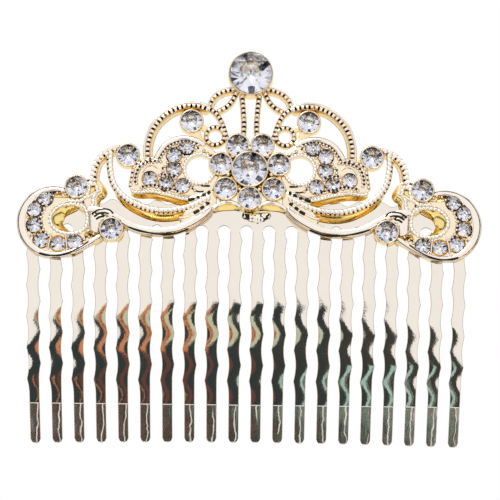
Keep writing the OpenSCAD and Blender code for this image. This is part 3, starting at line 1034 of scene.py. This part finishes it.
def make_end_scroll(shells):
    stones = right_nodes("scroll", 6)
    center = in_plane(SCROLL)[0]
    hole = curve_of(SCROLL_HOLE, closed=True, steps=6)
    seats = [seat_of(n, 0.3) for n in stones]
    plate(shells, circle(center, SCROLL_R - 0.3, 96), [hole], RECESS, seats=seats)
    tail = curve_of(SCROLL_TAIL, closed=True, steps=6)
    last, d = stone_center(stones[-1])
    plate(shells, tail, [circle(last.to_2d(), d / 2 + 0.08, 32)], RECESS - 0.02)
    inner_rim = hole + left_of(hole, True) * 0.34
    ring(shells, inner_rim, 0.76, DOTTED, notch_depth=0.45, pitch=0.72)
    bowl = np.vstack([hole, hole])[len(hole) // 5:][:len(hole) * 3 // 5]
    skirt(shells, bowl, 2.0, 1.5, side=-1)
    sweep(shells, *scroll_rim(), GROOVED)
    # A black line of painted shade along the bottom of the scroll and its tail
    slot(shells, [[37.4, 34.4], [34.9, 33.95], [32.6, 34.35], [30.6, 35.2], [28.6, 36.5]], 0.3, top=ON_TOP)
    prongs_between(shells, stones, 1.1)
    for a, b in zip(stones[3:], stones[4:]):
        web(shells, stone_center(a)[0], stone_center(b)[0])
    for line in SCROLL_BEADS:
        posts_along(shells, curve_of(line), 0.66)


def web(shells, a, b):
    """A bar of metal between two stones, from the outer rim inward."""
    middle = (a + b) / 2
    way = (b - a).to_2d().normalized()
    out = Vector((way.y, -way.x))
    ends = [[middle.x + out.x * r, middle.y + out.y * r] for r in (-1.6, 0.2, 1.9)]
    sweep(shells, evenly(np.array(ends), 12), 0.34, SMOOTH, top=CASTING_T - 0.05)


def scroll_rim():
    """The middle of the end scroll's polished outer rim, from the shoulder to the curl, and its widths."""
    center = in_plane(SCROLL)[0]
    a = np.radians(np.arange(128, -80, -3))
    widths = 0.95 + 0.6 * np.cos(a)
    arc = center + (SCROLL_R - widths / 2)[:, None] * np.column_stack([np.cos(a), np.sin(a)])
    tail = curve_of([[34, 34.1], [31.5, 34.75], [29, 36], [26.6, 37.6]])
    return np.vstack([arc, tail]), np.concatenate([widths, np.full(len(tail), 0.9)])


def make_curl(shells):
    """A boss with nested grooves over its top, drawn as black lines of painted shade, at the inner end of the
    swag.
    """
    center = in_plane(CURL)[0]
    lathe(shells, center, [[CURL_R - 0.4, 0], [CURL_R, 0.2], [CURL_R, 1.6], [CURL_R - 0.2, 1.8], [0.3, 1.85]])
    for line in CURL_GROOVES:
        slot(shells, line, 0.34, top=ON_TOP)


def make_hinge(shells):
    """The knot that joins the shoulder, the end scroll and the swag."""
    hinge = curve_of(HINGE, closed=True, steps=6)
    plate(shells, hinge, [], RECESS)
    edge = curve_of(HINGE[:4])
    skirt(shells, edge, 0.8, 0.9, side=-1)
    strand(shells, [[28, 47.2], [27.4, 45.9], [28, 44.5], [28.1, 43.2], [28.6, 42.6]], 0.8, DOTTED, pitch=0.8)
    strand(shells, [[29, 47.3], [28.9, 45.6], [29.8, 44.2], [31, 43.8], [32.6, 43.9]], 0.8, DOTTED, pitch=0.7)
    strand(shells, [[26.6, 45.7], [28, 45.2], [29, 44.3]], 0.5, notch_depth=0, section=SMOOTH)
    posts_along(shells, curve_of([[29.6, 43], [31, 44.4], [33, 45]]), 0.75)


# Blocks painted black on the swag, as painted shade
SWAG_SHADE_BLOCKS = [
    [[11, 44.1], [9.8, 44.4]], [[9.5, 44.5], [8.9, 44.75]], [[8.5, 44.95], [7.8, 45.25]],
    [[7.5, 45.45], [7, 45.75]],
    [[10, 41.8], [8.95, 42.35]], [[8.8, 42.6], [8.1, 43.05]], [[7.75, 43.4], [7.15, 43.75]],
]


def make_swag(shells):
    """The grooved band from the curl to the flower, with a line and blocks of painted shade on it, and the
    fan of ridges that it ends in.
    """
    strand(shells, SWAG, 1.45, GROOVED, notch_depth=0)
    plate(shells, curve_of(FAN, closed=True, steps=5), [], RECESS)
    strand(shells, [[12.6, 41], [11.4, 41.2], [9.4, 42.2], [7, 44]], 0.5, SMOOTH, notch_depth=0)
    strand(shells, [[13.4, 39.6], [10.8, 40.5], [8.4, 41.9], [6.8, 43]], 0.4, SMOOTH, notch_depth=0)
    # A black line of painted shade along the swag's lower edge
    slot(shells, [[21.7, 39.2], [20, 38.7], [17, 38.05], [13.5, 38.1], [10.8, 39]], 0.34, top=ON_TOP)
    for block in SWAG_SHADE_BLOCKS:
        slot(shells, block, 0.6, top=ON_TOP)
    skirt(shells, curve_of(SWAG), 0.75, 0.9)


def make_inner_scroll(shells):
    """The dotted band under the wing, and the sloping wall that it stands on."""
    strand(shells, INNER_SCROLL, 1.15, DOTTED, notch_depth=0.5, pitch=0.8)
    path = curve_of(INNER_SCROLL)
    path = path[round(0.3 * len(path)):]
    skirt(shells, path + left_of(path) * 0.4, 1.2, 1.0)


def make_strands(shells):
    strand(shells, STEM, 1.0, notch_depth=0.55)
    strand(shells, LOOP_OUTER, 1.0, RIMMED, notch_depth=0.5)
    strand(shells, LOOP_INNER, 0.95, notch_depth=0.5)
    strand(shells, ARCH[::-1], 1.35, RIMMED, notch_depth=0.6)
    strand(shells, ARCH_TAIL, 0.95, notch_depth=0.5)
    ring(shells, circle(in_plane(RING)[0], 1.2 + 0.43, 48), 0.86, notch_depth=0.4)
    strand(shells, SHOULDER, 1.3, SHOULDER_SECTION, notch_depth=0.5)
    strand(shells, UNDER_ARCH, 0.7, SMOOTH, notch_depth=0)
    skirt(shells, curve_of(UNDER_ARCH), 1.2, 1.1)
    for line, width in BRIDGES:
        strand(shells, line, width, SMOOTH, top=1.6, notch_depth=0)


def make_flower(shells):
    center, d = stone_center("center_stone")
    lathe(shells, center, [[4.3, 0], [4.5, 0.2], [4.5, 1.2], [4.2, 1.45]])
    for k in range(len(PETALS)):
        a = math.pi / 2 + 2 * math.pi * k / len(PETALS)
        post(shells, center.to_2d() + Vector((math.cos(a), math.sin(a))) * 3.95, 0.4, 2.5)
    sink_under(shells, ["center_stone", *PETALS])
    cup(shells, "crown_stone", over=0.02)
    for node in ["center_stone", *PETALS]:
        cup(shells, node)


def make_casting():
    gold = plated_casting()
    half = Shells()
    make_strands(half)
    make_inner_scroll(half)
    make_wing(half)
    make_curl(half)
    make_end_scroll(half)
    make_hinge(half)
    make_swag(half)
    singles = right_nodes("single", 4)
    sink_under(half, ["crown_stone", "center_stone", *singles, *PETALS])
    for node in singles:
        cup(half, node)
    half.add_mirrored()
    flower = Shells()
    make_flower(flower)
    for name, shells in (("casting_sides", half), ("casting_flower", flower)):
        add_piece(name, shells_mesh(name, shells), gold, ["filigree_casting"])


# --- The solder ------------------------------------------------------------------------------


def make_solder():
    """The middle joint's squeezed-out lump, and the plain joints behind the casting."""
    metal = solder_metal()
    lump = Shells()
    drops = [[-0.7, 41.5, 0.6], [0.4, 41.2, 0.75], [1.5, 41.1, 0.9], [2.5, 41.3, 0.75], [3.3, 41.5, 0.62]]
    for x, h, r in drops:
        center = in_plane([x, h], 0)[0]
        t = np.linspace(0.02, math.pi - 0.02, 13)
        lathe(lump, center, [[r * math.sin(a) * 1.15, -r * math.cos(a) * 0.9] for a in t], count=24)
    mesh = mesh_of("solder_lump", lump.points, lump.faces)
    mesh.transform(PLANE)
    piece = add_piece("solder_lump", mesh, metal, ["solder_center"])
    fuse = piece.modifiers.new("fuse", "REMESH")
    fuse.mode = "VOXEL"
    fuse.voxel_size = 0.09 * MM
    fuse.use_smooth_shade = True
    soften = piece.modifiers.new("soften", "SMOOTH")
    soften.iterations = 60
    for node in ("solder_left", "solder_right"):
        mesh = frame["nodes"][node].data
        mesh.materials.clear()
        mesh.materials.append(metal)


# --- The stage -------------------------------------------------------------------------------


def make_floor():
    material, nodes, output, place = new_material("floor")
    glow = nodes.add("ShaderNodeEmission", Color=rgba(1, 1, 1), Strength=1.0)
    nodes.put(output, "Surface", glow.outputs[0])
    r = 3.0
    mesh = mesh_of("floor", [(-r, -r, 0), (r, -r, 0), (r, r, 0), (-r, r, 0)], [(0, 1, 2, 3)])
    mesh.materials.append(material)
    floor = put_in_scene("floor", mesh)
    floor.visible_glossy = False
    floor.visible_diffuse = False
    floor.visible_transmission = False


# Coloured cards in the dark part of the studio, as [left, right, low, high, colour] of directions
CARDS = [
    (-0.054, -0.024, -0.9, -0.2, rgba(0.13, 0.062, 0.052)),
    (-0.056, -0.022, -0.21, 0.01, rgba(0.62, 0.26, 0.13)),
    (-0.042, -0.034, -0.16, -0.02, rgba(0.10, 0.05, 0.04)),
    (-0.084, -0.052, -0.07, 0.02, rgba(0.42, 0.46, 0.36)),
    (-0.027, 0.003, -0.17, -0.02, rgba(0.56, 0.62, 0.46)),
    (0.041, 0.064, -0.55, -0.24, rgba(0.40, 0.60, 0.56)),
    (0.068, 0.078, -0.7, -0.3, rgba(0.20, 0.25, 0.22)),
    (-0.079, -0.070, -0.7, -0.3, rgba(0.50, 0.22, 0.13)),
]


def make_world():
    """A dark room with softboxes in front and at the sides, and a white backdrop behind."""
    world = bpy.data.worlds.new("studio")
    bpy.context.scene.world = world
    world.use_nodes = True
    nodes = Nodes(world.node_tree)
    output = nodes.add("ShaderNodeOutputWorld")
    way = nodes.add("ShaderNodeTexCoord").outputs["Generated"]
    split = nodes.add("ShaderNodeSeparateXYZ", Vector=way)
    x, y, z = (split.outputs[k] for k in "XYZ")
    aside = nodes.math("ABSOLUTE", x)

    def all_of(*masks):
        made = masks[0]
        for mask in masks[1:]:
            made = nodes.math("MULTIPLY", made, mask)
        return made

    in_front = nodes.ramp(y, 0.1, -0.1)
    front_wall = all_of(in_front, nodes.ramp(z, 0.95, 0.9), nodes.ramp(aside, 0.6, 0.56))
    side_box = all_of(
        nodes.ramp(y, 0.15, 0.0), nodes.ramp(aside, 0.66, 0.7), nodes.ramp(aside, 0.97, 0.93),
        nodes.ramp(z, -0.6, -0.5), nodes.ramp(z, 0.65, 0.55)
    )
    bulge = nodes.math("POWER", nodes.math("ADD", x, 0.012), 2.0)
    wobble = nodes.math("MULTIPLY", nodes.noise(way, 14.0), 0.05)
    brow = nodes.math("ADD", nodes.math("MULTIPLY", bulge, -23.0), wobble)
    below = nodes.math("SUBTRACT", nodes.math("ADD", brow, 0.005), z)
    figure = all_of(in_front, nodes.ramp(below, -0.012, 0.012), nodes.ramp(z, -0.74, -0.68))
    backdrop = nodes.ramp(y, 0.1, 0.45)
    color = nodes.mix(backdrop, rgba(0.05, 0.055, 0.06), rgba(0.95, 0.95, 0.95))
    color = nodes.mix(nodes.ramp(z, -0.7, -0.85), color, rgba(1.0, 0.98, 0.95))
    color = nodes.mix(side_box, color, rgba(0.98, 0.98, 1.0))
    color = nodes.mix(front_wall, color, rgba(1.0, 0.99, 0.98))
    seen = nodes.mix(nodes.ramp(x, 0.0, 0.05), rgba(0.036, 0.048, 0.05), rgba(0.050, 0.052, 0.046))
    for left, right, low, high, card in CARDS:
        mask = all_of(
            nodes.ramp(x, left, left + 0.002), nodes.ramp(x, right, right - 0.002),
            nodes.ramp(z, low, low + 0.02), nodes.ramp(z, high, high - 0.01)
        )
        seen = nodes.mix(mask, seen, card)
    color = nodes.mix(figure, color, seen)
    light = nodes.add("ShaderNodeBackground", Color=color, Strength=1.0)
    white = nodes.add("ShaderNodeBackground", Color=rgba(1, 1, 1), Strength=1.0)
    camera_ray = nodes.add("ShaderNodeLightPath").outputs["Is Camera Ray"]
    shown = nodes.tree.nodes.new("ShaderNodeMixShader")
    nodes.put(shown, "0", camera_ray)
    nodes.put(shown, "1", light.outputs[0])
    nodes.put(shown, "2", white.outputs[0])
    nodes.put(output, "Surface", shown.outputs[0])


def make_camera():
    """Level with the middle of the comb and a little rolled."""
    distance = 0.43
    view_w = 0.09
    roll = math.radians(0.65)
    data = bpy.data.cameras.new("camera")
    data.sensor_width = 36
    data.lens = 36 * distance / view_w
    data.clip_start = 0.01
    camera = put_in_scene("camera", data)
    camera.matrix_world = (
        Matrix.Translation((0.0002, -distance, 0.0353))
        @ Matrix.Rotation(math.pi / 2, 4, "X")
        @ Matrix.Rotation(roll, 4, "Z")
    )
    bpy.context.scene.camera = camera


def make_light():
    """A soft light from above the camera that brings out the relief."""
    data = bpy.data.lights.new("softbox", "AREA")
    data.shape = "RECTANGLE"
    data.size = 0.25
    data.size_y = 0.12
    data.energy = 0.6
    light = put_in_scene("softbox", data)
    light.location = (-0.12, -0.45, 0.5)
    light.rotation_euler = (Vector((0, 0, 0.04)) - light.location).to_track_quat("-Z", "Y").to_euler()


make_camera()
make_world()
make_light()
make_floor()
make_comb()
make_casting()
make_stones([n for n in sorted(frame["nodes"]) if "_stone" in n])
make_solder()
bpy.context.scene.view_settings.view_transform = "Standard"
